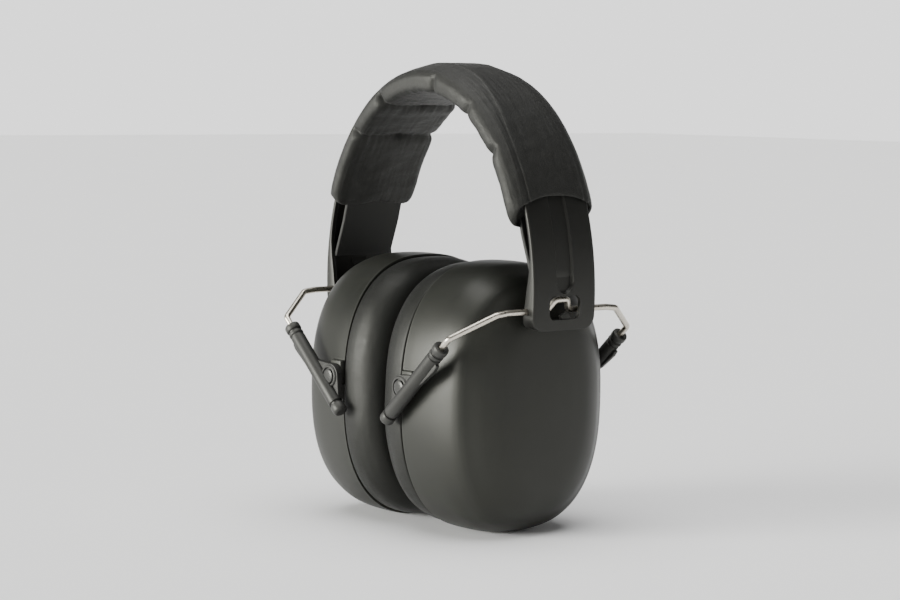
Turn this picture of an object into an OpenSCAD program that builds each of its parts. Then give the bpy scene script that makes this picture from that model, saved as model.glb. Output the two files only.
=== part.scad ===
// Passive folding earmuff: padded over-head band, wire yokes, telescoping links and two ear cups.
// X runs ear to ear, -Y is the front, +Z is up, and the cups stand on z = 0.

/* [Cups] */
// Height of the rim of an ear cup
cup_height = 108.8; // [100:0.2:120]
// Width of the rim of an ear cup, front to back
cup_width = 88.6; // [80:0.2:96]
// Distance from the middle plane to the seat of the cushion on its rim ring
rim_x = 16.4; // [15:0.1:17.4]
// Distance from the middle plane to the outer face of a cup
face_x = 57; // [50:0.5:58]
// Wall thickness of the cup shell
shell_wall = 2.4; // [1.8:0.1:3]
// Distance from the middle plane to the soft face of a cushion
cushion_x = 1.0; // [0.5:0.1:3]
// Width of the sound-sealing ring of a cushion
cushion_ring = 19; // [14:0.5:24]
// How far the middle of a cup hangs below the linkage datum
cup_drop = 2.5; // [0:0.1:5]

/* [Headband] */
// Half span of the band across the arms, outside
band_half_span = 66.6; // [60:0.1:72]
// Height of the band's crown above the arm ends' widest level
band_rise = 88.9; // [80:0.1:95]
// Width of the moulded band
band_width = 32.8; // [28:0.2:36]
// Thickness of the moulded band
band_wall = 2.4; // [1.8:0.1:3]
// Width of the padded sleeve
sleeve_width = 42; // [36:0.5:46]
// Thickness of the padding below the band
pad_depth = 7.4; // [7:0.2:14]

/* [Linkage] */
// Diameter of the yoke wire
wire_d = 2.5; // [2:0.1:3]
// Outer diameter of a link tube
link_d = 6; // [5:0.1:7]
// Radial running clearance of wire and pins
run_gap = 0.08; // [0.02:0.01:0.1]
// Height of the pivot pins above the linkage datum
pivot_rise = 3.5; // [0:0.5:8]
// Distance of the pivot pins from the middle plane
pivot_x = 23; // [20:0.5:26]

/* [Hidden] */
$fn = 48;

zc = 56.6;              // linkage datum above the ground
sq = 2.45;              // squareness of the cup outline
band_z = zc + 40;       // level where the arms are widest
flat_y = 44.1;          // flats on the cup sides that the links swing over
link_y = 47.5;          // middle of the link tubes
seam_x = 19.6;          // parting line between cushion and shell
ra = cup_width / 2;
rb = cup_height / 2;
hole_x = 62;            // yoke wire axis in the arms
hole_z = zc + 34.9;
tube_top = [48.7, zc + 21.7];
tube_low = [14.4, zc - 10.5];
tube_v = tube_low - tube_top;
tube_len = norm(tube_v);
tube_u = tube_v / tube_len;
tube_tilt = atan2(tube_v[0], tube_v[1]);
arm_end = 90 + asin(12.8 / band_rise);

// closed outline, rounder than a rectangle and squarer than an ellipse
function sup(a, b, m) = [for (i = [0:m - 1]) let (t = 360 * i / m, c = cos(t), s = sin(t))
  [a * sign(c) * pow(abs(c), 2 / sq), b * sign(s) * pow(abs(s), 2 / sq)]];
// point of the arch at angle t from the crown, d outside the moulded band's outer face
function arch(t, d) = let (nx = sin(t) / band_half_span, nz = cos(t) / band_rise, l = sqrt(nx * nx + nz * nz))
  [band_half_span * sin(t) + d * nx / l, band_z + band_rise * cos(t) + d * nz / l];

module slab(x, a, b, w = 0.1, m = 56) translate([x, 0, zc - cup_drop]) rotate([90, 0, 90]) linear_extrude(w) polygon(sup(a, b, m));
// strip of the arch between angles t0 and t1 and offsets d0 and d1, w wide about y
module strip(t0, t1, d0, d1, w, y = 0, k = 48)
  translate([0, y + w / 2, 0]) rotate([90, 0, 0]) linear_extrude(w)
    polygon(concat([for (i = [0:k]) arch(t0 + (t1 - t0) * i / k, d0)], [for (i = [k:-1:0]) arch(t0 + (t1 - t0) * i / k, d1)]));
// strip whose inner edge runs from offset d1 at t0 to d2 at t1
module taper(t0, t1, d0, d1, d2, w, y = 0, k = 20, e = 1)
  translate([0, y + w / 2, 0]) rotate([90, 0, 0]) linear_extrude(w)
    polygon(concat([for (i = [0:k]) arch(t0 + (t1 - t0) * i / k, d0)],
      [for (i = [k:-1:0]) arch(t0 + (t1 - t0) * i / k, d1 + (d2 - d1) * pow(i / k, e))]));
module both_y() { children(); mirror([0, 1, 0]) children(); }
module left_side() mirror([1, 0, 0]) children();
module along_y(x, z, r, y0, y1, f = 48) translate([x, y1, z]) rotate([90, 0, 0]) cylinder(r = r, h = y1 - y0, $fn = f);
module rod(p, q, r) translate(p) rotate([0, acos((q[2] - p[2]) / norm(q - p)), atan2(q[1] - p[1], q[0] - p[0])])
  cylinder(r = r, h = norm(q - p), $fn = 32);

// ---- headband ----
module arm() {
  for (s = [-1, 1]) {
    taper(76, 90, 0, -2.4, -5.4, 2, s * (band_width / 2 - 1), 12, 1.3);
    taper(90, arm_end, 0, -5.4, -7.4, 2, s * (band_width / 2 - 1), 8, 0.7);
  }
  // wall that closes the channel at the bottom
  strip(arm_end - 1.4, arm_end, 0, -7.3, band_width - 1, 0, 3);
}
module arm_cuts() {
  // hole for the yoke wire
  along_y(hole_x, hole_z, wire_d / 2 + run_gap, -band_width, band_width);
  // window over the yoke's hump, with a detent tongue left standing in it
  difference() {
    union() {
      translate([58, -5.5, zc + 31.4]) cube([14, 11, 9.4]);
      translate([58, -8, zc + 33.9]) cube([14, 16, 4.4]);
      for (y = [-5.5, 5.5], z = [33.9, 38.3]) translate([58, y, zc + z]) rotate([0, 90, 0]) cylinder(r = 2.5, h = 14);
    }
    translate([0, 2.4, zc + 30.4]) rotate([-24, 0, 0]) translate([63.9, -2.1, 0]) cube([1.6, 4.2, 3.6]);
  }
  // lengthwise recess that ends in a scoop above the window
  taper(52, 86.5, 3, -0.5, -1.15, 8, 0);
  translate([hole_x + 9.6, 0, zc + 45.2]) scale(1) sphere(r = 6.6);
  // rounded toe corners
  for (s = [-1, 1]) difference() {
    translate([50, s * (band_width / 2 - 2.5) - 3.5, zc + 24]) cube([24, 7, 8.4]);
    translate([49, s * (band_width / 2 - 5.2), zc + 32.4]) rotate([0, 90, 0]) cylinder(r = 5.2, h = 26);
    translate([49, s * (band_width / 2 - 5.2) - (s > 0 ? 8 : 0), zc + 20]) cube([26, 8, 13]);
  }
}
module headband() color([0.07, 0.07, 0.075]) difference() {
  union() {
    strip(-arm_end, arm_end, 0, -band_wall, band_width, 0, 110);
    arm();
    left_side() arm();
  }
  arm_cuts();
  left_side() arm_cuts();
}
sleeve_t = 64.6;
module pad_body(g, e) {
  strip(-sleeve_t - 4.5 + e, sleeve_t + 4.5 - e, -6 - g * 0, -band_wall - pad_depth + g, 32 - 2 * g, 0, 72);
  strip(-sleeve_t + e, sleeve_t - e, 1.4 - g, -band_wall - pad_depth + 2.6 + g, 33.4 - 0.2 * g, 0, 72);
  strip(-sleeve_t - 3 + e, sleeve_t + 3 - e, -1.6 - g, -band_wall - pad_depth + 1.6 + g, 38 - 2 * g, 0, 72);
  strip(-sleeve_t - 1.5 + e, sleeve_t + 1.5 - e, -4 - g, -band_wall - pad_depth + 3.6 + g, sleeve_width - 2 * g, 0, 72);
}
module headband_sleeve() color([0.09, 0.09, 0.09]) difference() {
  pad_body(0, 0);
  // room for the band and its flanges, open at both ends
  strip(-75, 75, 0.15, -band_wall - 1.4, band_width + 0.3, 0, 84);
  // hollow that the foam fills
  strip(-sleeve_t - 3.2, sleeve_t + 3.2, -band_wall - 1.3, -band_wall - pad_depth + 1, 30, 0, 72);
  strip(-sleeve_t - 1.8, sleeve_t + 1.8, -band_wall - 1.3, -band_wall - pad_depth + 2.8, 36, 0, 72);
  strip(-sleeve_t - 0.4, sleeve_t + 0.4, -4.5, -band_wall - pad_depth + 4.5, 40, 0, 72);
  // mouths for the pad tabs
  for (s = [0, 1]) mirror([s, 0, 0]) taper(60, 78, -4.6, -band_wall - pad_depth + 1, -band_wall - pad_depth + 1, 27, 0);
}
module headband_foam() color([0.2, 0.2, 0.2]) difference() {
  union() {
    strip(-sleeve_t - 3, sleeve_t + 3, -band_wall - 1.6, -band_wall - pad_depth + 1.2, 29.6, 0, 72);
    strip(-sleeve_t - 1.6, sleeve_t + 1.6, -band_wall - 1.6, -band_wall - pad_depth + 3, 35.6, 0, 72);
    strip(-sleeve_t - 0.2, sleeve_t + 0.2, -4.7, -band_wall - pad_depth + 4.7, 39.6, 0, 72);
  }
  // the arms' flanges and the pad tabs run into the foam
  for (s = [0, 1]) mirror([s, 0, 0]) {
    for (y = [-1, 1]) strip(59, 76, 0, -4.6, 2.8, y * (band_width / 2 - 1), 20);
    taper(53, 78, -3.4, -band_wall - pad_depth + 1.9, -band_wall - pad_depth + 1.9, 27.4, 0);
  }
}
module right_pad_tab() color([0.06, 0.06, 0.06])
  translate([0, 13, 0]) rotate([90, 0, 0]) linear_extrude(26)
    polygon(concat([for (i = [0:20]) arch(55 + 29 * i / 20, -band_wall - pad_depth + 3.6 + 3.3 * pow(max(0, i - 12) / 8, 1.4))],
      [for (i = [20:-1:0]) arch(55 + 29 * i / 20, -band_wall - pad_depth + 2.2 + 3.3 * pow(max(0, i - 12) / 8, 1.4))]));
module left_pad_tab() left_side() right_pad_tab();

// ---- wire yoke: one bent wire from the front link to the rear link ----
bend_a = [hole_x, -31.4, hole_z - 0.6];
bend_b = [tube_top[0] - tube_u[0] * 5, -link_y, tube_top[1] - tube_u[1] * 5];
wire_end = [tube_top[0] + tube_u[0] * 38, -link_y, tube_top[1] + tube_u[1] * 38];
hump = [[hole_x, -5.6, hole_z], [hole_x + 2.2, -3.1, hole_z + 4.3]];
module ball(p) translate(p) sphere(r = wire_d / 2 + 0.04, $fn = 32);
module yoke_half() {
  r = wire_d / 2;
  rod(wire_end, bend_b, r);
  ball(bend_b);
  rod(bend_b, bend_a, r);
  ball(bend_a);
  rod(bend_a, [hole_x, -26, hole_z], r);
  ball([hole_x, -26, hole_z]);
  rod([hole_x, -26, hole_z], hump[0], r);
  ball(hump[0]);
  rod(hump[0], hump[1], r);
  ball(hump[1]);
}
module right_wire_yoke() color([0.75, 0.74, 0.7]) {
  both_y() yoke_half();
  rod(hump[1], [hump[1][0], -hump[1][1], hump[1][2]], wire_d / 2);
}
module left_wire_yoke() left_side() right_wire_yoke();

// ---- link: tube for the wire with a pivot lug ----
module link_tube_solid() {
  rl = link_d / 2;
  rotate_extrude($fn = 48) polygon([[0, 0], [rl - 0.35, 0], [rl + 0.25, 0.5], [rl + 0.25, 2.6], [rl - 0.45, 2.9], [rl - 0.45, 3.8],
    [rl + 0.1, 4.1], [rl + 0.1, 5.1], [rl - 0.35, 5.4], [rl - 0.35, 6.0], [rl, 6.4], [rl, tube_len - 5.2],
    [rl - 0.7, tube_len - 4.9], [rl - 0.7, tube_len - 3.9], [rl, tube_len - 3.6], [rl, tube_len - 0.7], [rl - 0.7, tube_len], [0, tube_len]]);
}
// frame whose z axis runs down the tube from its mouth
module in_tube() translate([tube_top[0], -link_y, tube_top[1]]) rotate([0, atan2(tube_u[0], tube_u[1]), 0]) children();
pv = [pivot_x, zc + pivot_rise];
pv_along = (pv - tube_top) * tube_u;
pv_off = 4.3;
module lug_plate() {
  q = 5.1;
  foot_a = tube_top + tube_u * (pv_along - 13.5);
  foot_b = tube_top + tube_u * (tube_len - 5.6);
  nn = [-tube_u[1], tube_u[0]];
  sgn = ((pv - tube_top) * nn) > 0 ? 1 : -1;
  n = nn * sgn;
  translate([0, -44.5, 0]) rotate([90, 0, 0]) linear_extrude(2.7) union() {
    translate(pv) circle(r = q, $fn = 64);
    polygon([foot_a, pv - tube_u * 3.0 + n * 4.1, pv + tube_u * 2.4 + n * 4.5, foot_b + n * 1.8, foot_b]);
  }
  // stiffening fin on the far side of the tube
  translate([0, -46.6, 0]) rotate([90, 0, 0]) linear_extrude(1.8)
    polygon([tube_top + tube_u * 6.5, tube_top + tube_u * 6.5 - n * 4.1, tube_top + tube_u * 9 - n * 4.4, tube_top + tube_u * 27]);
}
module link_front() difference() {
  union() {
    in_tube() link_tube_solid();
    lug_plate();
  }
  // blind bore for the wire
  in_tube() translate([0, 0, -1]) cylinder(r = wire_d / 2 + run_gap, h = tube_len - 2.6, $fn = 48);
  // pivot hole
  along_y(pv[0], pv[1], 1.9 + run_gap, -60, -40);
  along_y(pv[0], pv[1], 3.3, -60, -47.2);
}
module right_front_link() color([0.12, 0.12, 0.12]) link_front();
module right_rear_link() color([0.12, 0.12, 0.12]) mirror([0, 1, 0]) link_front();
module left_front_link() color([0.12, 0.12, 0.12]) left_side() link_front();
module left_rear_link() color([0.12, 0.12, 0.12]) left_side() mirror([0, 1, 0]) link_front();

// ---- pivot pin: headed pin fixed in the rim ring's ear ----
module pin_front() translate([pv[0], -48.5, pv[1]]) rotate([-90, 0, 0])
  rotate_extrude($fn = 48) polygon([[0, 0], [1.9, 0], [2.9, 0.45], [2.9, 1.2], [1.9, 1.2], [1.9, 7.4], [2.4, 7.7], [2.4, 8.2], [1.5, 9.1], [0, 9.1]]);
module right_front_pivot_pin() color([0.16, 0.16, 0.16]) pin_front();
module right_rear_pivot_pin() color([0.16, 0.16, 0.16]) mirror([0, 1, 0]) pin_front();
module left_front_pivot_pin() color([0.16, 0.16, 0.16]) left_side() pin_front();
module left_rear_pivot_pin() color([0.16, 0.16, 0.16]) left_side() mirror([0, 1, 0]) pin_front();

// ---- cups ----
sb = rb + 0.3;
module dome(i) hull() {
  slab(seam_x + 0.1, ra - 1.2 - i, sb - i);
  slab(31, ra - 2.0 - i, rb + 0.3 - i);
  slab(38, ra - 3.1 - i, rb - 0.2 - i);
  slab(44.5 - i * 0.3, ra - 4.6 - i, rb - 2.6 - i);
  slab(47.8 - i * 0.5, ra - 6.4 - i, rb - 4.6 - i);
  slab(50.6 - i * 0.65, ra - 10.2 - i, rb - 7.6 - i);
  slab(face_x - 3.2 - i * 0.85, ra - 14.8 - i, rb - 12.2 - i);
  slab(face_x - 1.2 - i, ra - 20.5 - i, rb - 18.2 - i);
  slab(face_x - 0.1 - i, ra - 30.5 - i, rb - 31 - i);
}
// notch outline around the pivot ear
module ear_block(g, y0, y1) both_y() translate([seam_x + 0.2 - g, -y1, zc - 0.2 - g]) cube([6.4 + 2 * g, y1 - y0, 10 + 2 * g]);
module side_flats() both_y() translate([0, -60, zc - 18.5]) cube([60, 60 - flat_y, 30]);
module cup_shell_right() difference() {
  dome(0);
  dome(shell_wall);
  slab(seam_x - 2, ra - 1.2 - shell_wall, sb - shell_wall, 3);
  ear_block(0.1, 36, 60);
  side_flats();
  translate([0, -60, -10]) cube([80, 120, 10]);
}
module right_cup_shell() color([0.08, 0.085, 0.08]) cup_shell_right();
module left_cup_shell() color([0.08, 0.085, 0.08]) left_side() cup_shell_right();

module rim_ring_right() difference() {
  union() {
    difference() {
      union() {
        slab(rim_x, ra - 2.0, rb - 2.0, seam_x - rim_x);
        slab(seam_x - 0.1, ra - 1.35 - shell_wall, rb - 1.35 - shell_wall, 4.3);
      }
      slab(rim_x - 1, ra - 5.4, rb - 5.4, 14);
    }
    ear_block(0, 38.6, flat_y);
  }
  along_y(pv[0], pv[1], 1.9 + 0.02, -60, 60);
  // room for the barb of the pivot pin
  both_y() along_y(pv[0], pv[1], 2.55, -41.1, -30);
}
module right_rim_ring() color([0.08, 0.085, 0.08]) rim_ring_right();
module left_rim_ring() color([0.08, 0.085, 0.08]) left_side() rim_ring_right();

// plate that carries the cushion and snaps into the rim ring
module cushion_plate_right() difference() {
  union() {
    slab(rim_x + 0.2, ra - 5.6, rb - 5.6, 1.6);
    slab(rim_x + 1.7, ra - 6.6, rb - 6.6, 3.2);
  }
  slab(rim_x - 1, ra - 18.5, rb - 18.5, 8);
  slab(rim_x + 1.8, ra - 8.2, rb - 8.2, 6);
}
module right_cushion_plate() color([0.1, 0.1, 0.1]) cushion_plate_right();
module left_cushion_plate() color([0.1, 0.1, 0.1]) left_side() cushion_plate_right();

cu0 = rim_x;
module cushion_outer(i) hull() {
  slab(cushion_x + i, ra - 11.5 - i * 0.3, rb - 11.5 - i * 0.3, 0.1, 48);
  slab(cushion_x + 1.3 + i * 0.6, ra - 7.2 - i * 0.8, rb - 7.2 - i * 0.8, 0.1, 48);
  slab(cushion_x + 3.4 + i * 0.4, ra - 4.2 - i * 0.9, rb - 4.2 - i * 0.9, 0.1, 48);
  slab(cushion_x + 6.2 + i * 0.2, ra - 2.2 - i, rb - 2.2 - i, 0.1, 48);
  slab(cushion_x + 9.4, ra - 1.2 - i, rb - 1.2 - i, 0.1, 48);
  slab(cu0 - 0.2 - i, ra - 1.0 - i, rb - 0.6 - i, 0.1, 48);
}
// skirt of the cover that hides the rim ring
module cushion_skirt() difference() {
  slab(cu0 - 0.6, ra - 1.0, rb - 0.6, seam_x - cu0 + 0.3, 48);
  slab(cu0 - 1.6, ra - 1.9, rb - 1.5, seam_x, 48);
}
module cushion_hole(i) {
  slab(cushion_x + 2.6, ra - 2.8 - cushion_ring + i, rb - 2.8 - cushion_ring + i, cu0 - cushion_x, 48);
  hull() {
    slab(cushion_x - 0.2, ra + 1.4 - cushion_ring + i, rb + 1.4 - cushion_ring + i, 0.1, 48);
    slab(cushion_x + 2.7, ra - 2.8 - cushion_ring + i, rb - 2.8 - cushion_ring + i, 0.1, 48);
  }
}
module cushion_cover_right() {
  difference() {
    cushion_outer(0);
    cushion_hole(0);
    difference() {
      cushion_outer(0.9);
      cushion_hole(0.9);
    }
  }
  cushion_skirt();
}
module cushion_foam_right() difference() {
  cushion_outer(1.1);
  cushion_hole(1.1);
}
module right_cushion_cover() color([0.07, 0.07, 0.07]) cushion_cover_right();
module left_cushion_cover() color([0.07, 0.07, 0.07]) left_side() cushion_cover_right();
module right_cushion_foam() color([0.6, 0.58, 0.5]) cushion_foam_right();
module left_cushion_foam() color([0.6, 0.58, 0.5]) left_side() cushion_foam_right();

module acoustic_foam_right() difference() {
  intersection() {
    dome(shell_wall + 0.4);
    union() {
      translate([24, -60, -10]) cube([60, 120, 200]);
    }
  }
  hull() {
    slab(20, ra - 14, rb - 14, 0.1, 40);
    slab(40, ra - 17, rb - 17, 0.1, 40);
    slab(44, ra - 22, rb - 22, 0.1, 40);
  }
  ear_block(0.6, 30, 60);
}
module right_acoustic_foam() color([0.25, 0.25, 0.25]) acoustic_foam_right();
module left_acoustic_foam() color([0.25, 0.25, 0.25]) left_side() acoustic_foam_right();

headband();
headband_sleeve();
headband_foam();
left_pad_tab();
right_pad_tab();
left_wire_yoke();
right_wire_yoke();
left_front_link();
left_rear_link();
right_front_link();
right_rear_link();
left_front_pivot_pin();
left_rear_pivot_pin();
right_front_pivot_pin();
right_rear_pivot_pin();
left_cup_shell();
right_cup_shell();
left_rim_ring();
right_rim_ring();
left_cushion_plate();
right_cushion_plate();
left_cushion_cover();
right_cushion_cover();
left_cushion_foam();
right_cushion_foam();
left_acoustic_foam();
right_acoustic_foam();
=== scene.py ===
import math

import bmesh
import bpy
import numpy as np
from mathutils import Matrix, Vector, noise
from mathutils.bvhtree import BVHTree


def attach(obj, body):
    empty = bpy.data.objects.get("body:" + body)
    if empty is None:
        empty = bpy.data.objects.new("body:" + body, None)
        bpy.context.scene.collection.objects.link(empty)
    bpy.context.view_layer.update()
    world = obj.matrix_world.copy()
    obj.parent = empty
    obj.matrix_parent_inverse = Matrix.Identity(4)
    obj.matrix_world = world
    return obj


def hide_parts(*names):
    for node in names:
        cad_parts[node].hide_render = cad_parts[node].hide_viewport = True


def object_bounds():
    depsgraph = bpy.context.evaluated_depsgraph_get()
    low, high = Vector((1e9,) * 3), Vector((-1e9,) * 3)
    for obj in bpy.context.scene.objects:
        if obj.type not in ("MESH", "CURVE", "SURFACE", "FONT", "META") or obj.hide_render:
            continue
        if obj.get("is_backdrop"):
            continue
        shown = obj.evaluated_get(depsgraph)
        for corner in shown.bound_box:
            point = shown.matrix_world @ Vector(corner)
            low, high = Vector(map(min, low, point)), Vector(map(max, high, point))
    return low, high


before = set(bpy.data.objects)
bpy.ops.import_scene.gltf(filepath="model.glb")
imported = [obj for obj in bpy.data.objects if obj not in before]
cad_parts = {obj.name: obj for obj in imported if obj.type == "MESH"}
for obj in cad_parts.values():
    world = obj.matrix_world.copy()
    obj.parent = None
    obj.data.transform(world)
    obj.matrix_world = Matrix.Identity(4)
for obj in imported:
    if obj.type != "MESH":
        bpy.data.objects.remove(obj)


def plain(v):
    if isinstance(v, dict):
        return {k: plain(x) for k, x in v.items()}
    if isinstance(v, (list, tuple, Vector)):
        return [plain(x) for x in v]
    return float(v) if isinstance(v, (int, float)) else v


sizes = {"loaded": plain(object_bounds())}
scene = bpy.context.scene
MM = 0.001

# ------------------------------------------------------------------ dimensions, in mm, as in the CAD
ZC = 56.6
SQ = 2.45
HALF, RISE, BZ = 66.6, 88.9, ZC + 40.0
BW = 32.8
ARM_END = 90 + math.degrees(math.asin(12.8 / RISE))
CZ = ZC - 2.5
RA, RB = 44.3, 54.4
HOLE_X, HOLE_Z = 62.0, ZC + 34.9
LINK_Y = 47.5
TOP = np.array([48.7, ZC + 21.7])
LOW = np.array([14.4, ZC - 10.5])
TLEN = float(np.linalg.norm(LOW - TOP))
TU = (LOW - TOP) / TLEN
PV = np.array([23.0, ZC + 3.5])

# ------------------------------------------------------------------ camera
def camera():
    A, E, R = math.radians(50.0), math.radians(5.077), math.radians(0.776)
    b = Vector((math.sin(A) * math.cos(E), -math.cos(A) * math.cos(E), math.sin(E)))
    r = Vector((math.cos(A), math.sin(A), 0))
    u = b.cross(r)
    r2 = r * math.cos(R) + u * math.sin(R)
    u2 = -r * math.sin(R) + u * math.cos(R)
    aim = -2.252 * r + Vector((0, 0, ZC + 34.04))
    pos = (aim + 1000.0 * b) * MM
    data = bpy.data.cameras.new("camera")
    data.sensor_fit = "HORIZONTAL"
    data.sensor_width = 36.0
    data.lens = 36.0 * 2431.39 / 900.0
    data.clip_start, data.clip_end = 0.02, 20
    cam = bpy.data.objects.new("camera", data)
    scene.collection.objects.link(cam)
    m = Matrix.Identity(4)
    for i, v in enumerate((r2, u2, b)):
        for k in range(3):
            m[k][i] = v[k]
    m.translation = pos
    cam.matrix_world = m
    scene.camera = cam


camera()

# ------------------------------------------------------------------ material helpers
def mat(name, build):
    m = bpy.data.materials.new(name)
    m.use_nodes = True
    nt = m.node_tree
    nt.nodes.clear()
    out = nt.nodes.new("ShaderNodeOutputMaterial")
    bs = nt.nodes.new("ShaderNodeBsdfPrincipled")
    nt.links.new(bs.outputs["BSDF"], out.inputs["Surface"])
    build(nt, bs)
    return m


def nd(nt, kind, **kw):
    n = nt.nodes.new(kind)
    for k, v in kw.items():
        if k in n.inputs:
            n.inputs[k].default_value = v
        else:
            setattr(n, k, v)
    return n


def mix_col(nt, fac, a, b):
    n = nt.nodes.new("ShaderNodeMix")
    n.data_type = "RGBA"
    n.inputs["A"].default_value = (*a, 1)
    n.inputs["B"].default_value = (*b, 1)
    nt.links.new(fac, n.inputs["Factor"])
    return n.outputs["Result"]


def ramp(nt, fac, lo, hi, a=0.0, b=1.0):
    n = nt.nodes.new("ShaderNodeMapRange")
    n.inputs["From Min"].default_value = lo
    n.inputs["From Max"].default_value = hi
    n.inputs["To Min"].default_value = a
    n.inputs["To Max"].default_value = b
    nt.links.new(fac, n.inputs["Value"])
    return n.outputs["Result"]


def coords(nt, scale=(1, 1, 1)):
    tc = nt.nodes.new("ShaderNodeTexCoord")
    mp = nt.nodes.new("ShaderNodeMapping")
    mp.inputs["Scale"].default_value = scale
    nt.links.new(tc.outputs["Object"], mp.inputs["Vector"])
    return mp.outputs["Vector"]


def noise_tex(nt, vec, scale, detail=4.0, rough=0.55):
    n = nt.nodes.new("ShaderNodeTexNoise")
    n.inputs["Scale"].default_value = scale
    n.inputs["Detail"].default_value = detail
    n.inputs["Roughness"].default_value = rough
    nt.links.new(vec, n.inputs["Vector"])
    return n.outputs["Fac"]


def bump(nt, bs, height, strength, dist, prev=None):
    n = nt.nodes.new("ShaderNodeBump")
    n.inputs["Strength"].default_value = strength
    n.inputs["Distance"].default_value = dist
    nt.links.new(height, n.inputs["Height"])
    if prev is not None:
        nt.links.new(prev, n.inputs["Normal"])
    if bs is not None:
        nt.links.new(n.outputs["Normal"], bs.inputs["Normal"])
    return n.outputs["Normal"]


def moulded(col_a, col_b, rough, grain=2600.0, strength=0.12, spec=0.36):
    """Injection-moulded plastic: fine spark texture, slow mottling of gloss, faint scuffs, and a painted highlight
    that lightens the colour on sharp edges.
    """
    def build(nt, bs):
        v = coords(nt)
        slow = noise_tex(nt, v, 38.0, 3.0)
        fine = noise_tex(nt, v, grain, 2.0, 0.6)
        scr = noise_tex(nt, coords(nt, (1, 1, 14)), 420.0, 3.0, 0.7)
        geo = nt.nodes.new("ShaderNodeNewGeometry")
        # painted edge highlight: the base colour is lifted on sharp convex edges, where light catches them
        edge = ramp(nt, geo.outputs["Pointiness"], 0.515, 0.60)
        c1 = mix_col(nt, ramp(nt, slow, 0.3, 0.7), col_a, col_b)
        edge_highlight_mix = nt.nodes.new("ShaderNodeMix")
        edge_highlight_mix.data_type = "RGBA"
        edge_highlight_mix.inputs["B"].default_value = (*[min(1, c * 2.1 + 0.006) for c in col_b], 1)
        nt.links.new(c1, edge_highlight_mix.inputs["A"])
        nt.links.new(edge, edge_highlight_mix.inputs["Factor"])
        nt.links.new(edge_highlight_mix.outputs["Result"], bs.inputs["Base Color"])
        add = nt.nodes.new("ShaderNodeMath")
        add.operation = "ADD"
        nt.links.new(ramp(nt, slow, 0.25, 0.75, rough - 0.035, rough + 0.035), add.inputs[0])
        nt.links.new(ramp(nt, scr, 0.62, 0.72, 0.0, 0.05), add.inputs[1])
        nt.links.new(add.outputs[0], bs.inputs["Roughness"])
        bs.inputs["Specular IOR Level"].default_value = spec
        bs.inputs["Specular Tint"].default_value = (1.0, 1.0, 0.92, 1)
        n1 = bump(nt, None, slow, 0.05, 0.0006)
        bump(nt, bs, fine, strength, 0.00005, n1)
    return build


def leather(col_a, col_b, rough, cell=900.0, depth=0.00012, strength=0.5, sheen=0.15, stretch=(1, 1, 1), wrinkle=0.0, spec=0.36):
    """Leatherette or vinyl: pebbled cells, fine wrinkles, colour and gloss that vary with both."""
    def build(nt, bs):
        v = coords(nt, stretch)
        w = nt.nodes.new("ShaderNodeTexNoise")
        w.inputs["Scale"].default_value = 160.0
        w.inputs["Detail"].default_value = 2.0
        nt.links.new(v, w.inputs["Vector"])
        mixv = nt.nodes.new("ShaderNodeMix")
        mixv.data_type = "VECTOR"
        mixv.inputs["Factor"].default_value = 0.012
        nt.links.new(v, mixv.inputs["A"])
        nt.links.new(w.outputs["Color"], mixv.inputs["B"])
        vo = nt.nodes.new("ShaderNodeTexVoronoi")
        vo.feature = "DISTANCE_TO_EDGE"
        vo.inputs["Scale"].default_value = cell
        nt.links.new(mixv.outputs["Result"], vo.inputs["Vector"])
        cells = ramp(nt, vo.outputs["Distance"], 0.0, 0.22)
        slow = noise_tex(nt, v, 45.0, 4.0)
        mid = noise_tex(nt, coords(nt, tuple(s * k for s, k in zip(stretch, (1, 1, 3)))), 260.0, 5.0, 0.6)
        col = mix_col(nt, ramp(nt, slow, 0.3, 0.7), col_a, col_b)
        dk = nt.nodes.new("ShaderNodeMix")
        dk.data_type = "RGBA"
        dk.blend_type = "MULTIPLY"
        dk.inputs["Factor"].default_value = 0.35
        nt.links.new(col, dk.inputs["A"])
        rgb = nt.nodes.new("ShaderNodeCombineColor")
        for k in range(3):
            nt.links.new(ramp(nt, vo.outputs["Distance"], 0.0, 0.15, 0.55, 1.0), rgb.inputs[k])
        nt.links.new(rgb.outputs[0], dk.inputs["B"])
        nt.links.new(dk.outputs["Result"], bs.inputs["Base Color"])
        nt.links.new(ramp(nt, mid, 0.3, 0.75, rough - 0.04, rough + 0.05), bs.inputs["Roughness"])
        bs.inputs["Specular IOR Level"].default_value = spec
        bs.inputs["Specular Tint"].default_value = (1.0, 1.0, 0.93, 1)
        bs.inputs["Sheen Weight"].default_value = sheen
        bs.inputs["Sheen Roughness"].default_value = 0.45
        n0 = bump(nt, None, mid, 0.14 + wrinkle, 0.00020)
        bump(nt, bs, cells, strength, depth, n0)
    return build


def foam(col_a, col_b):
    def build(nt, bs):
        v = coords(nt)
        vo = nt.nodes.new("ShaderNodeTexVoronoi")
        vo.inputs["Scale"].default_value = 1100.0
        nt.links.new(v, vo.inputs["Vector"])
        nt.links.new(mix_col(nt, ramp(nt, vo.outputs["Distance"], 0.1, 0.6), col_b, col_a), bs.inputs["Base Color"])
        bs.inputs["Roughness"].default_value = 0.95
        bump(nt, bs, vo.outputs["Distance"], 0.8, 0.0004)
    return build


def steel(nt, bs):
    v = coords(nt)
    fine = noise_tex(nt, v, 900.0, 3.0)
    slow = noise_tex(nt, v, 90.0, 2.0)
    nt.links.new(mix_col(nt, slow, (0.56, 0.52, 0.44), (0.68, 0.64, 0.56)), bs.inputs["Base Color"])
    bs.inputs["Metallic"].default_value = 1.0
    nt.links.new(ramp(nt, fine, 0.3, 0.7, 0.24, 0.38), bs.inputs["Roughness"])
    bump(nt, bs, fine, 0.04, 0.00003)


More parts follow.
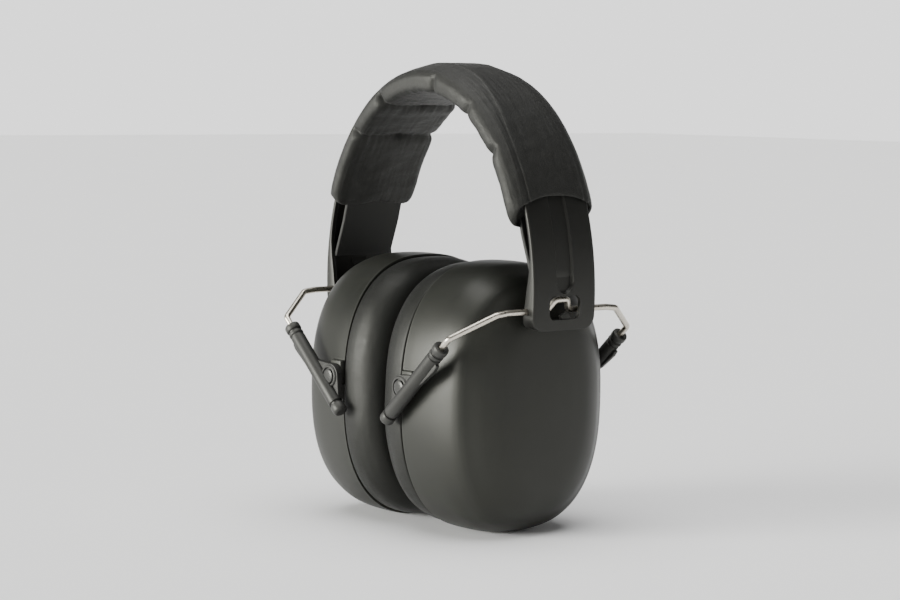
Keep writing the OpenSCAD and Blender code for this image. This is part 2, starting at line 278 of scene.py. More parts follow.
M_CUP = mat("cup_plastic_m", moulded((0.0095, 0.0100, 0.0085), (0.0125, 0.0130, 0.0108), 0.42, 3000, 0.10))
M_BAND = mat("band_plastic_m", moulded((0.0055, 0.0055, 0.0050), (0.0075, 0.0075, 0.0068), 0.44, 2400, 0.10))
M_LINK = mat("link_plastic_m", moulded((0.0130, 0.0130, 0.0125), (0.0175, 0.0175, 0.0165), 0.48, 2200, 0.25))
M_PIN = mat("pin_plastic_m", moulded((0.020, 0.0202, 0.0195), (0.027, 0.027, 0.026), 0.36, 2200, 0.12))
M_TAB = mat("tab_plastic_m", moulded((0.004, 0.004, 0.004), (0.006, 0.006, 0.006), 0.62, 2200, 0.2))
M_SLEEVE = mat("sleeve_m", leather((0.0075, 0.0076, 0.0070), (0.0100, 0.0100, 0.0092), 0.56, 1100.0, 0.00010, 0.4, 0.03, (1, 1, 1), 0.0, 0.34))
M_VINYL = mat("vinyl_m", leather((0.0056, 0.0059, 0.0052), (0.0074, 0.0077, 0.0067), 0.50, 1500.0, 0.00004, 0.3, 0.02, (1, 1, 1), 0.0, 0.28))
M_FOAM = mat("foam_m", foam((0.02, 0.02, 0.02), (0.006, 0.006, 0.006)))
M_STEEL = mat("steel_m", steel)

# ------------------------------------------------------------------ mesh helpers
def make(name, verts, faces, material, smooth=True, angle=35.0):
    me = bpy.data.meshes.new(name)
    me.from_pydata([tuple(np.asarray(v, float) * MM) for v in verts], [], [tuple(f) for f in faces])
    bm = bmesh.new()
    bm.from_mesh(me)
    bmesh.ops.remove_doubles(bm, verts=bm.verts, dist=1e-7)
    bmesh.ops.recalc_face_normals(bm, faces=bm.faces)
    bm.to_mesh(me)
    bm.free()
    me.materials.append(material)
    o = bpy.data.objects.new(name, me)
    scene.collection.objects.link(o)
    if smooth:
        shade(o, angle)
    return o


def shade(o, angle=35.0):
    me = o.data
    me.polygons.foreach_set("use_smooth", [True] * len(me.polygons))
    me.set_sharp_from_angle(angle=math.radians(angle))


def loft(rings, closed=True, cap0=False, cap1=False, loop=False):
    """Faces over rings of equal length. loop joins the last ring to the first."""
    n = len(rings[0])
    verts = [p for r in rings for p in r]
    faces = []
    m = len(rings)
    for i in range(m if loop else m - 1):
        a, b = i * n, ((i + 1) % m) * n
        for k in range(n if closed else n - 1):
            q = (k + 1) % n
            faces.append((a + k, a + q, b + q, b + k))
    if cap0:
        faces.append(tuple(range(n - 1, -1, -1)))
    if cap1:
        faces.append(tuple(range((m - 1) * n, m * n)))
    return verts, faces


def join(name, parts, material):
    verts, faces = [], []
    for v, f in parts:
        k = len(verts)
        verts += list(v)
        faces += [tuple(i + k for i in q) for q in f]
    return make(name, verts, faces, material)


def apply_mods(o):
    bpy.context.view_layer.update()
    dg = bpy.context.evaluated_depsgraph_get()
    me = bpy.data.meshes.new_from_object(o.evaluated_get(dg))
    old = o.data
    o.modifiers.clear()
    o.data = me
    bpy.data.meshes.remove(old)


def cut(o, cutter, op="DIFFERENCE"):
    m = o.modifiers.new("b", "BOOLEAN")
    m.operation = op
    m.solver = "EXACT"
    m.object = cutter
    apply_mods(o)
    bpy.data.objects.remove(cutter)


def box_obj(lo, hi, r=0.0, seg=3):
    bm = bmesh.new()
    bmesh.ops.create_cube(bm, size=1.0)
    for v in bm.verts:
        v.co = Vector([(lo[k] + hi[k]) / 2 * MM + v.co[k] * (hi[k] - lo[k]) * MM for k in range(3)])
    if r:
        bmesh.ops.bevel(bm, geom=list(bm.edges), offset=r * MM, segments=seg, affect="EDGES", profile=0.5)
    me = bpy.data.meshes.new("box")
    bm.to_mesh(me)
    bm.free()
    o = bpy.data.objects.new("box", me)
    scene.collection.objects.link(o)
    return o


def mirror_copy(o, name, sx=1, sy=1):
    me = o.data.copy()
    me.transform(Matrix.Diagonal((sx, sy, 1, 1)))
    if sx * sy < 0:
        me.flip_normals()
    c = bpy.data.objects.new(name, me)
    scene.collection.objects.link(c)
    return c


def spline(pts, per=8):
    """Catmull-Rom through points, several samples per span."""
    P = np.asarray(pts, float)
    Q = np.vstack([2 * P[0] - P[1], P, 2 * P[-1] - P[-2]])
    out = []
    for i in range(1, len(Q) - 2):
        p0, p1, p2, p3 = Q[i - 1], Q[i], Q[i + 1], Q[i + 2]
        for t in np.linspace(0, 1, per, endpoint=False):
            out.append(0.5 * (2 * p1 + (p2 - p0) * t + (2 * p0 - 5 * p1 + 4 * p2 - p3) * t**2 + (3 * p1 - p0 - 3 * p2 + p3) * t**3))
    out.append(P[-1])
    return np.array(out)


def sup(x, a, b, n=144, sq=SQ):
    t = np.linspace(0, 2 * math.pi, n, endpoint=False)
    c, s = np.cos(t), np.sin(t)
    y = a * np.sign(c) * np.abs(c) ** (2 / sq)
    z = b * np.sign(s) * np.abs(s) ** (2 / sq)
    return np.stack([np.full(n, float(x)), y, CZ + z], 1)


def arch(t, d=0.0):
    t = math.radians(t)
    nx, nz = math.sin(t) / HALF, math.cos(t) / RISE
    l = math.hypot(nx, nz)
    return np.array([HALF * math.sin(t) + d * nx / l, BZ + RISE * math.cos(t) + d * nz / l])


def tube(path, r, n=16, caps=True):
    P = [Vector(p) for p in path]
    rings = []
    up = Vector((0, 0, 1))
    prev = None
    for i, p in enumerate(P):
        d = (P[min(i + 1, len(P) - 1)] - P[max(i - 1, 0)]).normalized()
        if prev is None:
            a = d.orthogonal().normalized()
        else:
            a = (prev - d * prev.dot(d)).normalized()
        prev = a
        b = d.cross(a)
        rr = r[i] if hasattr(r, "__len__") else r
        rings.append([p + (a * math.cos(2 * math.pi * k / n) + b * math.sin(2 * math.pi * k / n)) * rr for k in range(n)])
    return loft(rings, True, caps, caps)


def rounded_path(pts, radius, per=6):
    """Polyline with its corners turned into arcs."""
    P = [Vector(p) for p in pts]
    out = [P[0]]
    for i in range(1, len(P) - 1):
        a, b, c = P[i - 1], P[i], P[i + 1]
        d0, d1 = (a - b), (c - b)
        ang = d0.angle(d1)
        cutl = min(radius / math.tan(ang / 2), d0.length * 0.45, d1.length * 0.45)
        p0, p1 = b + d0.normalized() * cutl, b + d1.normalized() * cutl
        for k in range(per + 1):
            t = k / per
            out.append(p0 * (1 - t) ** 2 + b * 2 * t * (1 - t) + p1 * t**2)
    out.append(P[-1])
    dense = [out[0]]
    for p, q in zip(out, out[1:]):
        n = max(1, int((q - p).length / 4.0))
        for k in range(1, n + 1):
            dense.append(p.lerp(q, k / n))
    return dense


def lathe(profile, n=40):
    """Profile of (radius, z); closed solid about local z."""
    rings = [[(r * math.cos(2 * math.pi * k / n), r * math.sin(2 * math.pi * k / n), z) for k in range(n)] for r, z in profile]
    return loft(rings, True, True, True)


def place(part, m):
    v, f = part
    return [tuple(m @ Vector(p)) for p in v], f


# ------------------------------------------------------------------ headband: swept channel arms
def lerp(a, b, t):
    return a + (b - a) * t


def flange_depth(t):
    """How far the channel's flanges reach inward, growing towards the toe."""
    return float(np.interp(t, [60, 77, 80, 84, 88, 92, 96, ARM_END - 1, ARM_END], [1.9, 1.95, 2.3, 3.5, 4.9, 5.8, 6.4, 7.1, 7.2]))


def arm_part(t0):
    hw0, r = BW / 2, 0.7
    ts = list(np.arange(t0, 78.0, 0.5)) + list(np.arange(78.0, ARM_END - 3.4, 0.22)) + list(ARM_END - 3.4 * (1 - np.sin(np.linspace(0, math.pi / 2, 14))))
    zend = arch(ARM_END)[1]
    rings = []
    ys = np.concatenate([np.linspace(-1, -0.42, 8)[:-1], np.linspace(-0.42, 0.42, 47), np.linspace(0.42, 1, 8)[1:]])
    for t in ts:
        z = arch(t)[1]
        rc = 5.2
        h = max(0.0, rc - (z - zend))
        hw = hw0 - (rc - math.sqrt(max(0.0, rc * rc - h * h)))
        fd = flange_depth(t)
        solid = z - zend < 2.0
        web = fd - 0.6 if solid else 1.5
        depth = 0.0
        if t > 50:
            depth = lerp(0.55, 1.15, min(1, (t - 50) / 36))
        sec = []
        # outer web with recess and scoop
        for q in ys:
            y = q * (hw - r)
            d = -0.25 * (y / hw) ** 2
            # long recess down the middle that ends in a rounded thumb scoop
            zz = z - ZC
            edge = 4.6 if zz > 47 else 4.6 * math.sqrt(max(0.0, 1 - ((47 - zz) / 5.4) ** 2))
            if edge > 0:
                k = min(1.0, max(0.0, (edge - abs(y)) / 0.9))
                deep = depth + 1.0 * math.exp(-(((zz - 45.5) / 2.6) ** 2))
                d -= deep * (k * k * (3 - 2 * k))
            sec.append((y, d))
        e = sec[-1][1]
        for k in range(1, 5):
            a = math.pi / 2 * k / 4
            sec.append((hw - r + r * math.sin(a), e - r + r * math.cos(a)))
        wall = 2.0
        sec += [(hw, -fd * 0.5), (hw, -fd + 0.45), (hw - 0.15, -fd + 0.12), (hw - 0.5, -fd), (hw - wall + 0.4, -fd), (hw - wall + 0.1, -fd + 0.15), (hw - wall, -fd + 0.5)]
        inner = hw - wall
        root = -web - min(0.7, max(0.05, (fd - web - 0.1) * 0.5))
        sec += [(inner, min(root, -fd + 0.35) if fd - web < 1.0 else root), (inner - 0.2, -web - 0.02), (inner - 0.7, -web)]
        half = len(sec)
        mirrored = [(-y, d) for y, d in sec[::-1]]
        # order: top left..right, right side, inner right, inner left, left side
        top = sec[:61]
        right = sec[61:]
        left = [(-y, d) for y, d in right[::-1]]
        inner_pts = [(lerp(inner - 0.7, -(inner - 0.7), k / 12), -web) for k in range(1, 12)]
        loop = top + right + inner_pts + left
        p0 = arch(t, 0)
        p1 = arch(t, -1)
        nrm = p0 - p1
        rings.append([(p0[0] + nrm[0] * d, y, p0[1] + nrm[1] * d) for y, d in loop])
    return loft(rings, True, True, True)


def headband():
    arms = []
    for s in (1, -1):
        v, f = arm_part(60.0)
        o = make("arm", v, f, M_BAND)
        # window
        c = box_obj((56, -8.0, ZC + 31.4), (74, 8.0, ZC + 40.8), 0.0)
        me = c.data
        bm = bmesh.new()
        bm.from_mesh(me)
        ed = [e for e in bm.edges if abs(e.verts[0].co.x - e.verts[1].co.x) > 0.01]
        bmesh.ops.bevel(bm, geom=ed, offset=2.6 * MM, segments=6, affect="EDGES", profile=0.5)
        bm.to_mesh(me)
        bm.free()
        cut(o, c)
        # wire hole
        v, f = tube([(HOLE_X, -20, HOLE_Z), (HOLE_X, 20, HOLE_Z)], 1.36, 28)
        c = make("c", v, f, M_BAND)
        cut(o, c)
        # detent tongue in the window
        tg = box_obj((63.6, 0.0, ZC + 30.6), (65.4, 4.4, ZC + 34.2), 0.5)
        tg.data.transform(Matrix.Translation((0.0644, 0.0022, (ZC + 30.6) * MM)) @ Matrix.Rotation(math.radians(24), 4, "X") @ Matrix.Translation((-0.0644, -0.0022, -(ZC + 30.6) * MM)))
        bm = bmesh.new()
        bm.from_mesh(o.data)
        bm.from_mesh(tg.data)
        bm.to_mesh(o.data)
        bm.free()
        bpy.data.objects.remove(tg)
        if s < 0:
            o.data.transform(Matrix.Diagonal((-1, 1, 1, 1)))
            o.data.flip_normals()
        arms.append(o)
    # strip under the sleeve
    rings = []
    for t in np.linspace(-60.5, 60.5, 90):
        p0, p1 = arch(t, 0), arch(t, -1)
        n = p0 - p1
        rings.append([(p0[0] + n[0] * d, y, p0[1] + n[1] * d) for y, d in ((-14.5, -0.5), (14.5, -0.5), (14.5, -2.3), (-14.5, -2.3))])
    v, f = loft(rings, True, True, True)
    mid = make("band", v, f, M_BAND)
    bm = bmesh.new()
    for o in arms + [mid]:
        bm.from_mesh(o.data)
    me = bpy.data.meshes.new("headband_piece")
    bm.to_mesh(me)
    bm.free()
    for o in arms + [mid]:
        bpy.data.objects.remove(o)
    me.materials.append(M_BAND)
    o = bpy.data.objects.new("headband_piece", me)
    scene.collection.objects.link(o)
    shade(o, 32)
    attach(o, "headband")
    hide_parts("headband")


headband()

# ------------------------------------------------------------------ sleeve
FOLDS = [(-42.5, 1.0), (-25.0, 1.15), (8.5, 0.55), (30.0, 0.45), (47.5, 0.7)]
SLEEVE_END = 64.0


def pad_total(t):
    """Distance from the band's outer face to the middle of the pad's inner face."""
    return 8.6 + 1.9 * math.exp(-((t / 30.0) ** 2))


def end_at(y, d, T, side):
    """Arch angle where the sleeve ends: a shallow arch on the outer panel, lower down on the pad."""
    outer = 62.9 + 2.5 * min(1.0, abs(y) / 17.0) ** 2
    inner = 71.3 if side > 0 else 68.4
    k = min(1.0, max(0.0, -d / T))
    return outer + (inner - outer) * k**0.9


def smooth(x):
    x = min(1.0, max(0.0, x))
    return x * x * (3 - 2 * x)


def sleeve_ring(f):
    """Cross-section at fraction f (-1 to 1) along the sleeve."""
    t0 = f * 66.0
    T = pad_total(t0)
    # the outer panel is a raised strip that widens towards the hems, with softly sloping shoulders
    m = smooth((abs(t0) - 12) / 40.0)
    pw = lerp(8.6, 13.6, m)
    hi = lerp(2.3, 1.05, m)
    half = spline([(0.0, hi), (pw * 0.6, hi), (pw, hi - 0.05), (pw + 1.1, hi - 0.45), (lerp(13.6, 16.6, m), lerp(1.0, 0.5, m)), (17.6, lerp(-0.2, 0.15, m)), (19.6, -1.0), (20.9, -2.5), (21.4, -4.2), (21.2, -T + 2.7), (20.1, -T + 1.3), (17.6, -T + 0.5), (12.0, -T + 0.1), (5.5, -T - 0.15), (0.0, -T - 0.2)], 9)
    near, crease = 99.0, 0.0
    for ft, k in FOLDS:
        near = min(near, abs(t0 - ft))
        crease = max(crease, k * math.exp(-(abs(t0 - ft) / 1.35) ** 1.5))
    puff = 1.0 - math.exp(-near / 4.5)
    hem_in = math.exp(-(66.0 - abs(t0)) / 1.6)
    roll = max(0.0, 1 - (66.0 - abs(t0)) / 4.2)
    roll = 1 - math.sqrt(max(0.0, 1 - roll * roll))
    right = []
    n = len(half)
    for i, (y, d) in enumerate(half):
        u = i / (n - 1)
        w = smooth((-d - 0.6) / 4.5)
        vy, vd = y, d + 4.6
        l = math.hypot(vy, vd) + 1e-9
        k = w * (0.8 * puff - 2.9 * crease - 0.3) - 0.25 * hem_in - 3.2 * roll * w
        # soft line where the outer panel is sewn to the side
        seam = math.exp(-((math.hypot(y - 18.4, d + 0.9)) / 0.7) ** 2)
        k -= 0.08 * seam
        right.append((y + vy / l * k * 0.8, d + vd / l * k))
    loop = right + [(-y, d) for y, d in right[-2:0:-1]]
    ring = []
    for y, d in loop:
        lim = end_at(y, d, T, f)
        tt = f * (66.0 + (lim - 66.0) * abs(f) ** 5)
        # the crease lines sag a little sideways
        p0, p1 = arch(tt, 0), arch(tt, -1)
        nn = p0 - p1
        w_in = smooth((-d - 1.0) / 4.0)
        wr = (noise.noise(Vector((tt * 0.30, y * 0.10, d * 0.2))) * 0.30 + noise.noise(Vector((tt * 0.75, y * 0.22 + 7, d * 0.3))) * 0.07) * (0.35 + 0.65 * w_in)
        # fine ripples that run along the outer panel and the sides
        wr += noise.noise(Vector((tt * 0.10, y * 1.1, d * 0.9))) * 0.11
        # short gathers that fan out of each crease
        for ft, k in FOLDS:
            g = math.exp(-abs(tt - ft) / 3.2) * k * w_in
            if g > 0.02:
                wr += g * 0.45 * noise.noise(Vector((ft, y * 0.55, d * 0.5 + 3)))
        ring.append((p0[0] + nn[0] * (d + wr), y, p0[1] + nn[1] * (d + wr)))
    return ring


def sleeve():
    fs = np.linspace(-1, 1, 560)
    rings = [np.array(sleeve_ring(f)) for f in fs]

    def end(k, step):
        ring, inner = rings[k], rings[step]
        out = ring - inner
        out /= np.linalg.norm(out, axis=1)[:, None] + 1e-9
        c = ring.mean(0)
        toc = c - ring
        toc /= np.linalg.norm(toc, axis=1)[:, None] + 1e-9
        made = [ring + toc * 0.25 + out * 0.40, ring + toc * 0.75 + out * 0.45, ring + toc * 1.15 + out * 0.1, ring + toc * 1.35 - out * 1.0]
        core = c - out.mean(0) * 3.0
        for q in (0.3, 0.6, 0.85, 1.0):
            made.append((ring + toc * 1.4 - out * 2.2) * (1 - q) + core * q)
        return made

    a = end(0, 5)
    b = end(-1, -6)
    v, f = loft([list(map(tuple, r)) for r in a[::-1] + rings + b], True, False, False)
    o = make("headband_sleeve_piece", v, f, M_SLEEVE, True, 60)
    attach(o, "headband")
    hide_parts("headband_sleeve", "headband_foam")
    return o


sleeve()

# ------------------------------------------------------------------ pad tabs
def pad_tab(side):
    rings = []
    for i in range(33):
        t = 55 + 29 * i / 32
        k = max(0.0, i - 19) / 13
        d0 = -6.2 + 3.3 * k**1.4
        d1 = -7.8 + 3.3 * k**1.4
        e = 0.25
        w = 14.7
        sec = [(-w + e, d0), (w - e, d0), (w, d0 - e), (w, d1 + e), (w - e, d1), (-w + e, d1), (-w, d1 + e), (-w, d0 - e)]
        p0, p1 = arch(t, 0), arch(t, -1)
        n = p0 - p1
        rings.append([(p0[0] + n[0] * d, y, p0[1] + n[1] * d) for y, d in sec])
    v, f = loft(rings, True, True, True)
    o = make("right_pad_tab_piece", v, f, M_TAB, True, 30)
    if side < 0:
        q = mirror_copy(o, "left_pad_tab_piece", sx=-1)
        bpy.data.objects.remove(o)
        o = q
    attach(o, "headband")
    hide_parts("left_pad_tab" if side < 0 else "right_pad_tab")


pad_tab(1)
pad_tab(-1)

# ------------------------------------------------------------------ wire yokes
def yoke():
    ba = (HOLE_X, -31.4, HOLE_Z - 0.6)
    bb = (TOP[0] - TU[0] * 5, -LINK_Y, TOP[1] - TU[1] * 5)
    we = (TOP[0] + TU[0] * 38, -LINK_Y, TOP[1] + TU[1] * 38)
    half = [we, bb, ba, (HOLE_X, -26, HOLE_Z), (HOLE_X, -5.6, HOLE_Z), (HOLE_X + 2.2, -3.1, HOLE_Z + 4.3)]
    other = [(x, -y, z) for x, y, z in half[::-1]]
    path = rounded_path(half + other, 2.4, 8)
    v, f = tube(path, 1.25, 20)
    return make("right_wire_yoke_piece", v, f, M_STEEL, True, 50)


y_r = yoke()
y_l = mirror_copy(y_r, "left_wire_yoke_piece", sx=-1)
for o, s in ((y_r, "right"), (y_l, "left")):
    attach(o, s + "_yoke")
    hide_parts(s + "_wire_yoke")

# ------------------------------------------------------------------ links
def tube_matrix():
    z = Vector((TU[0], 0, TU[1]))
    x = Vector((0, 1, 0))
    y = z.cross(x)
    m = Matrix.Identity(4)
    for i, a in enumerate((x, y, z)):
        for k in range(3):
            m[k][i] = a[k]
    m.translation = Vector((TOP[0], -LINK_Y, TOP[1]))
    return m


def link():
    rl = 3.0
    prof = [(1.34, 4.0), (1.34, 0.5), (1.75, 0.05), (rl - 0.5, 0.0), (rl + 0.05, 0.15), (rl + 0.25, 0.6), (rl + 0.25, 2.4), (rl + 0.05, 2.8), (rl - 0.4, 3.0), (rl - 0.45, 3.4), (rl - 0.4, 3.8),
            (rl, 4.0), (rl + 0.1, 4.4), (rl + 0.1, 4.9), (rl - 0.05, 5.2), (rl - 0.35, 5.4), (rl - 0.35, 6.0), (rl - 0.05, 6.2), (rl, 6.6), (rl, 16), (rl, 28), (rl, TLEN - 5.6),
            (rl - 0.1, TLEN - 5.2), (rl - 0.6, TLEN - 5.0), (rl - 0.72, TLEN - 4.6), (rl - 0.7, TLEN - 4.1), (rl - 0.15, TLEN - 3.9), (rl, TLEN - 3.5), (rl, TLEN - 1.1), (rl - 0.2, TLEN - 0.5), (rl - 0.7, TLEN - 0.1), (rl - 1.1, TLEN), (0.4, TLEN)]
    part = place(lathe(prof, 40), tube_matrix())
    v, f = part
    body = make("tube", v, f, M_LINK, True, 40)
    # lug plate outline in the plane of the link
    nn = np.array([-TU[1], TU[0]])
    al = float((PV - TOP) @ TU)
    n = nn * (1 if (PV - TOP) @ nn > 0 else -1)
    fa, fb = TOP + TU * (al - 13.5), TOP + TU * (TLEN - 5.6)
    q = 5.1
    a0 = math.atan2(*(n[::-1]))
    out = [fa]
    # round head of the lug
    start = math.atan2(-TU[1] * 0.8 + n[1] * 0.6, -TU[0] * 0.8 + n[0] * 0.6)
    stop = math.atan2(TU[1] * 0.55 + n[1] * 0.85, TU[0] * 0.55 + n[0] * 0.85)
    d = (stop - start + math.pi) % (2 * math.pi) - math.pi
    for k in range(17):
        a = start + d * k / 16
        out.append(PV + q * np.array([math.cos(a), math.sin(a)]))
    out += [fb + n * 2.2, fb]
    def plate(outline, y0, y1, bev):
        bm = bmesh.new()
        vs = [bm.verts.new((p[0] * MM, y0 * MM, p[1] * MM)) for p in outline]
        fc = bm.faces.new(vs)
        r = bmesh.ops.extrude_face_region(bm, geom=[fc])
        for e in r["geom"]:
            if isinstance(e, bmesh.types.BMVert):
                e.co.y = y1 * MM
        bmesh.ops.recalc_face_normals(bm, faces=bm.faces)
        bmesh.ops.bevel(bm, geom=list(bm.edges), offset=bev * MM, segments=3, affect="EDGES", profile=0.6)
        me = bpy.data.meshes.new("p")
        bm.to_mesh(me)
        bm.free()
        o = bpy.data.objects.new("p", me)
        scene.collection.objects.link(o)
        return o
    lug = plate(out, -44.5, -47.2, 0.35)
    v, f = tube([(PV[0], -60, PV[1]), (PV[0], -40, PV[1])], 1.98, 36)
    cut(lug, make("c", v, f, M_LINK))
    # raised ring round the pin
    ring = [(3.45, -0.1), (3.5, 0.6), (3.65, 0.8), (4.0, 0.85), (4.35, 0.7), (4.6, 0.3), (4.7, -0.4), (3.45, -0.4)]
    rr = [[(PV[0] + r * math.cos(2 * math.pi * k / 40), -47.2 - h, PV[1] + r * math.sin(2 * math.pi * k / 40)) for k in range(40)] for r, h in ring]
    v, f = loft(rr, True, loop=True)
    rim = make("ring", v, f, M_LINK, True, 40)
    fin = plate([TOP + TU * 6.8, TOP + TU * 6.8 - n * 4.0, TOP + TU * 9.2 - n * 4.4, TOP + TU * 18 - n * 3.5, TOP + TU * 27 - n * 1.0, TOP + TU * 27], -46.6, -48.4, 0.25)
    bm = bmesh.new()
    for o in (body, lug, rim, fin):
        bm.from_mesh(o.data)
        bpy.data.objects.remove(o)
    me = bpy.data.meshes.new("link")
    bm.to_mesh(me)
    bm.free()
    me.materials.append(M_LINK)
    o = bpy.data.objects.new("right_front_link_piece", me)
    scene.collection.objects.link(o)
    shade(o, 35)
    return o


def pin():
    prof = [(1.9, 8.8), (1.9, 1.25), (2.7, 1.2), (2.88, 1.0), (2.9, 0.7), (2.78, 0.35), (2.3, 0.12), (1.6, 0.05), (1.0, 0.02), (0.3, 0.0)]
    m = Matrix.Translation(Vector((PV[0], -48.5, PV[1]))) @ Matrix.Rotation(math.radians(-90), 4, "X")
    v, f = place(lathe(prof, 40), m)
    return make("right_front_pivot_pin_piece", v, f, M_PIN, True, 45)


base_link, base_pin = link(), pin()
for s, sx in (("right", 1), ("left", -1)):
    for e, sy in (("front", 1), ("rear", -1)):
        for b, kind, body, slot in ((base_link, "link", "_links", "link_plastic"), (base_pin, "pivot_pin", "_cup", "pin_plastic")):
            nm = f"{s}_{e}_{kind}_piece"
            o = b if (sx, sy) == (1, 1) else mirror_copy(b, nm, sx, sy)
            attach(o, s + body)
            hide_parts(f"{s}_{e}_{kind}")

# ------------------------------------------------------------------ cups
def both(o, base):
    """The right-hand piece and its mirror image, on their bodies."""
    l = mirror_copy(o, "left_" + base + "_piece", sx=-1)
    o.name = "right_" + base + "_piece"
    return (("right", o), ("left", l))


def flat_floor(o, lo=0.0):
    for v in o.data.vertices:
        if v.co.z < lo:
            v.co.z = lo


def dome():
    prof = [(18.95, 43.15, 54.45), (24.5, 42.9, 54.6), (31.5, 42.2, 54.5), (38.0, 41.2, 53.9), (43.6, 39.8, 52.1), (46.6, 38.5, 50.6), (48.6, 36.9, 49.0), (50.3, 34.6, 47.0), (53.9, 29.6, 42.1), (56.6, 22.8, 34.2), (57.6, 14.4, 23.0), (57.95, 5.6, 9.0)]
    P = spline(prof, 7)
    outer = [sup(18.80, 42.2, 53.5), sup(18.82, 43.02, 54.3)] + [sup(x, a, b) for x, a, b in P]
    outer += [sup(58.0, 2.6, 4.4), sup(58.01, 0.6, 1.0)]
    inner = [sup(x if x < 50 else min(x - 2.3, 55.4), max(a - 2.4, 0.3), max(b - 2.4, 0.5)) for x, a, b in P[::3]]
    inner += [sup(55.5, 0.3, 0.5)]
    rings = inner[::-1] + outer
    v, f = loft(rings, True, True, True)
    o = make("dome", v, f, M_CUP, True, 40)
    for sy in (-1, 1):
        c = box_obj((10, 36 if sy > 0 else -60, ZC - 0.35), (26.35, 60 if sy > 0 else -36, ZC + 9.95), 0.0)
        cut(o, c)
    flat_floor(o)
    shade(o, 38)
    for s, q in both(o, "cup_shell"):
        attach(q, s + "_cup")
        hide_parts(s + "_cup_shell")


dome()


def rim_ring():
    prof = [(16.5, 5.2), (16.5, 2.3), (16.7, 2.3), (18.9, 2.3), (19.1, 3.7), (19.7, 3.85), (23.6, 3.85), (23.75, 4.0), (23.75, 5.3), (23.6, 5.4), (16.7, 5.4)]
    rings = [sup(x, RA - i, RB - i) for x, i in prof]
    v, f = loft(rings, True, loop=True)
    o = make("rim", v, f, M_CUP, True, 40)
    ears = []
    for sy in (-1, 1):
        e = box_obj((19.8, 41.2 if sy > 0 else -44.1, ZC - 0.2), (26.2, 44.1 if sy > 0 else -41.2, ZC + 9.8), 0.5)
        v, f = tube([(PV[0], -60, PV[1]), (PV[0], 60, PV[1])], 1.92, 36)
        cut(e, make("c", v, f, M_CUP))
        ears.append(e)
    bm = bmesh.new()
    for q in [o] + ears:
        bm.from_mesh(q.data)
    bm.to_mesh(o.data)
    bm.free()
    for q in ears:
        bpy.data.objects.remove(q)
    shade(o, 38)
    for s, q in both(o, "rim_ring"):
        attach(q, s + "_cup")
        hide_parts(s + "_rim_ring")


rim_ring()


def cushion():
    # closed profile of (x, inset from the widest size), round the soft ring; the skirt at its root hides the rim ring
    prof = [(18.1, 2.3), (18.2, 1.6), (17.9, 1.08), (17.0, 0.88), (15.0, 0.78), (12.6, 0.85), (10.2, 1.25), (7.6, 2.2), (5.0, 3.9), (3.0, 6.2), (1.7, 9.0), (1.1, 12.2), (1.3, 15.6), (2.3, 18.4), (4.6, 20.9), (8.5, 21.7), (12.5, 21.5), (16.0, 21.0), (16.3, 12.0), (16.3, 4.0)]
    P = spline(prof + [prof[0]], 6)[:-1]
    rings = []
    for j, (x, i) in enumerate(P):
        ring = sup(x, RA - i, RB - i, 220)
        rings.append(ring)
    out = []
    for ring, (x, i) in zip(rings, P):
        r2 = []
        for p in ring:
            w = min(1.0, max(0.0, (16.5 - p[0]) / 6.0))
            k = noise.noise(Vector((p[0] * 0.11, p[1] * 0.05, p[2] * 0.05))) * 0.35 + noise.noise(Vector((p[0] * 0.4, p[1] * 0.16, p[2] * 0.16))) * 0.10
            c = np.array([p[0], 0, CZ])
            d = p - c
            d /= np.linalg.norm(d) + 1e-9
            sgn = 1 if i < 12 else -1
            q = p + d * k * w * sgn
            q[0] += noise.noise(Vector((3.0, p[1] * 0.06, p[2] * 0.06))) * 0.25 * w
            q[0] = max(q[0], 0.95)
            r2.append(q)
        out.append(r2)
    v, f = loft(out, True, loop=True)
    o = make("cushion", v, f, M_VINYL, True, 60)
    for s, q in both(o, "cushion"):
        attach(q, s + "_cup")
        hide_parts(s + "_cushion_cover", s + "_cushion_foam")


cushion()

# ------------------------------------------------------------------ CAD nodes that stay
for n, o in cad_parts.items():
    if n.endswith("cushion_plate"):
        m = M_CUP
    elif n.endswith("acoustic_foam") or n == "headband_foam":
        m = M_FOAM
    else:
        m = {"wire_yoke": M_STEEL}.get(n, M_BAND)
    o.data.materials.clear()
    o.data.materials.append(m)

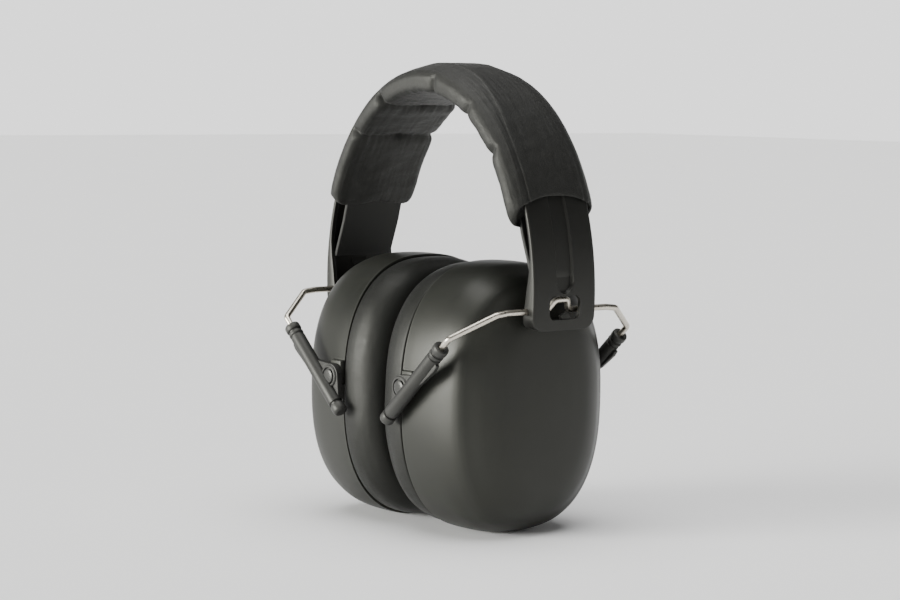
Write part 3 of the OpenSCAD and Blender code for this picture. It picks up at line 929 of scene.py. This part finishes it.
# ------------------------------------------------------------------ floor and light
def floor():
    me = bpy.data.meshes.new("floor")
    s = 6.0
    me.from_pydata([(-s, -s, 0), (s, -s, 0), (s, s, 0), (-s, s, 0)], [], [(0, 1, 2, 3)])
    def b(nt, bs):
        v = coords(nt)
        nt.links.new(mix_col(nt, noise_tex(nt, v, 6.0, 2.0), (0.93, 0.93, 0.93), (0.95, 0.95, 0.95)), bs.inputs["Base Color"])
        bs.inputs["Roughness"].default_value = 0.7
        bs.inputs["Specular IOR Level"].default_value = 0.2
    me.materials.append(mat("floor_m", b))
    o = bpy.data.objects.new("floor", me)
    scene.collection.objects.link(o)
    o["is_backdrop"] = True


floor()


def studio():
    """A pale cove behind the object, low down, that fades to a dim room in front of it and above."""
    world = bpy.data.worlds.new("world")
    scene.world = world
    world.use_nodes = True
    nt = world.node_tree
    bg = nt.nodes["Background"]
    tc = nt.nodes.new("ShaderNodeTexCoord")
    dot = nt.nodes.new("ShaderNodeVectorMath")
    dot.operation = "DOT_PRODUCT"
    dot.inputs[1].default_value = (-0.77, 0.64, 0.0)
    nt.links.new(tc.outputs["Generated"], dot.inputs[0])
    sep = nt.nodes.new("ShaderNodeSeparateXYZ")
    nt.links.new(tc.outputs["Generated"], sep.inputs[0])
    mul = nt.nodes.new("ShaderNodeMath")
    mul.operation = "MULTIPLY"
    nt.links.new(ramp(nt, dot.outputs["Value"], 0.45, 0.93, 0.26, 1.0), mul.inputs[0])
    nt.links.new(ramp(nt, sep.outputs["Z"], 0.34, 0.16), mul.inputs[1])
    bg.inputs["Color"].default_value = (1, 1, 1, 1)
    nt.links.new(ramp(nt, mul.outputs[0], 0.0, 1.0, 0.03, 1.72), bg.inputs["Strength"])


def far_light(name, direction, angle, strength, col=(1, 1, 1)):
    """Even light from a wide soft source a long way off, shining along direction."""
    d = bpy.data.lights.new(name, "SUN")
    d.energy = strength
    d.angle = math.radians(angle)
    d.color = col
    o = bpy.data.objects.new(name, d)
    o.rotation_euler = Vector(direction).to_track_quat("-Z", "Y").to_euler()
    scene.collection.objects.link(o)


studio()
far_light("overhead", (0.0, 0.0, -1.0), 60, 3.4)
far_light("key", (0.0, 1.0, -0.12), 30, 2.25, (1, 1, 0.97))
far_light("side", (0.40, 1.0, -0.12), 30, 8.3, (1, 1, 0.97))
far_light("fill", (-1.0, 0.1, -0.20), 50, 0.2)

sizes["finished"] = plain(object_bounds())
